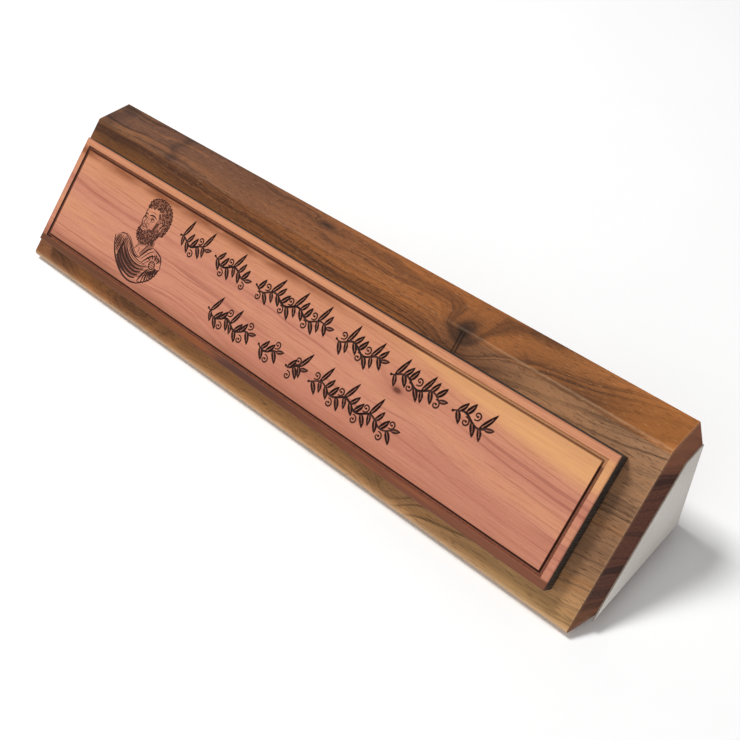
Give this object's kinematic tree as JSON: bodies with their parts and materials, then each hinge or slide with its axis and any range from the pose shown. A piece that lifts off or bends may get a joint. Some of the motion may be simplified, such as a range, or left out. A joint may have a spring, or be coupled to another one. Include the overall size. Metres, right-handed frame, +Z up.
{
  "type": "desk wedge plaque",
  "caption": "Free-standing walnut wedge with an engraved cedar plate on its sloping face, standing on felt pads, for display on a desk or shelf.",
  "frame": {"origin": "centre of the footprint, on the surface that the pads stand on", "axes": "+X along the plaque to the reader's right, -Y the side that the sloping face looks to, +Z up"},
  "size_m": [0.254, 0.0538, 0.043],
  "materials": {
    "walnut": "oiled, satin",
    "cedar": "sanded and oiled, laser engraved",
    "adhesive_tape": "translucent acrylic tape",
    "pale_card": "matt pale grey card",
    "felt": "dense wool felt"
  },
  "bodies": {
    "root": {"wedge_block": "walnut", "cedar_plate": "cedar", "tape_strip_upper": "adhesive_tape", "tape_strip_lower": "adhesive_tape", "end_cover_left": "pale_card", "end_cover_right": "pale_card", "base_pad_front_left": "felt", "base_pad_front_right": "felt", "base_pad_back_left": "felt", "base_pad_back_right": "felt"}
  },
  "joints": []
}
